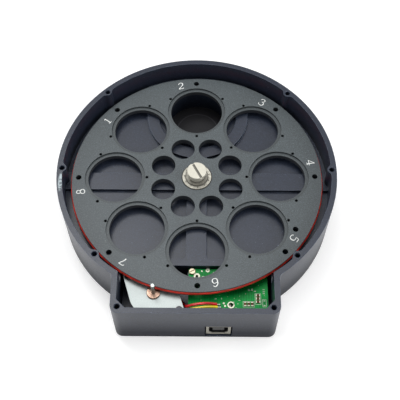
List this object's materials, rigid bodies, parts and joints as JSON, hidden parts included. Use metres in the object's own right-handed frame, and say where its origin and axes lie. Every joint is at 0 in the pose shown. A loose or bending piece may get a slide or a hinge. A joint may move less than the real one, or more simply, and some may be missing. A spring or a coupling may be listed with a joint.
{
  "type": "optical filter wheel",
  "caption": "Motorised filter wheel with its cover off: a round housing with an electronics bay, and a carousel of stepped filter seats driven by a small motor at its rim.",
  "frame": {"origin": "on the carousel's axis, where it meets the housing's flat base", "axes": "+Z out of the open side, where the cover goes; +Y to the light aperture, under seat 2; -Y to the electronics bay and its USB socket; +X to seat 4, the right-hand side as seen from the front and above"},
  "size_m": [0.1432, 0.1508, 0.0305],
  "materials": {
    "housing": "milled and anodised dark blue-grey, satin, worn bright along the rim",
    "aperture_plug": "black moulded, fine sheen",
    "hub_screw": "turned, nickel plated, satin",
    "hub_spring": "drawn wire, satin",
    "hub_washer": "turned, bright",
    "bearing_steel": "ground and polished",
    "bearing_shields": "pressed steel, satin",
    "bearing_cage": "pressed, plain",
    "carousel": "milled and anodised greenish grey, with a faint grain",
    "drive_ring": "red silicone rubber, matt",
    "motor_plate": "zinc plated sheet, satin",
    "drive_motor": "drawn steel can, satin",
    "shaft_bush": "sintered bronze, plain",
    "motor_shaft": "ground, satin",
    "plate_screws": "blackened",
    "circuit_board": "green solder resist over fibreglass, glossy",
    "board_screws": "yellow zinc plated",
    "chip_resistors": "ceramic chips with tinned ends",
    "sensor_plastic": "black moulded",
    "chip_plastic": "black moulded",
    "usb_shell": "tin plated, satin",
    "usb_insert": "black moulded",
    "usb_contacts": "gold plated",
    "red_lead": "red PVC insulation",
    "yellow_lead": "yellow PVC insulation",
    "solder": "tinned, bright"
  },
  "bodies": {
    "base": {"housing": "housing", "aperture_plug": "aperture_plug", "hub_screw": "hub_screw", "hub_spring": "hub_spring", "hub_washer": "hub_washer", "bearing_inner_ring": "bearing_steel", "motor_plate": "motor_plate", "drive_motor": "drive_motor", "shaft_bush": "shaft_bush", "plate_screws": "plate_screws", "circuit_board": "circuit_board", "board_screws": "board_screws", "chip_resistors": "chip_resistors", "position_sensors": "sensor_plastic", "controller_chip": "chip_plastic", "motor_driver_chip": "chip_plastic", "usb_shell": "usb_shell", "usb_insert": "usb_insert", "usb_contacts": "usb_contacts", "red_lead": "red_lead", "yellow_lead": "yellow_lead", "solder_joints": "solder"},
    "carousel": {"carousel": "carousel", "drive_ring": "drive_ring", "bearing_outer_ring": "bearing_steel", "bearing_shields": "bearing_shields"},
    "bearing_cage": {"bearing_cage": "bearing_cage", "bearing_balls": "bearing_steel"},
    "motor_shaft": {"motor_shaft": "motor_shaft"}
  },
  "joints": [
    {"name": "carousel_spin", "type": "hinge", "parent": "base", "child": "carousel", "pos_m": [0, 0, 0.0208], "axis": [0, 0, 1], "continuous": true},
    {"name": "bearing_cage_spin", "type": "hinge", "parent": "base", "child": "bearing_cage", "pos_m": [0, 0, 0.0208], "axis": [0, 0, 1], "continuous": true},
    {"name": "motor_shaft_spin", "type": "hinge", "parent": "base", "child": "motor_shaft", "pos_m": [-0.02055, -0.06343, 0.0207], "axis": [0, 0, 1], "continuous": true}
  ],
  "couplings": [
    {"joint": "bearing_cage_spin", "follows": "carousel_spin", "ratio": 0.5935},
    {"joint": "motor_shaft_spin", "follows": "carousel_spin", "ratio": -65.6}
  ]
}
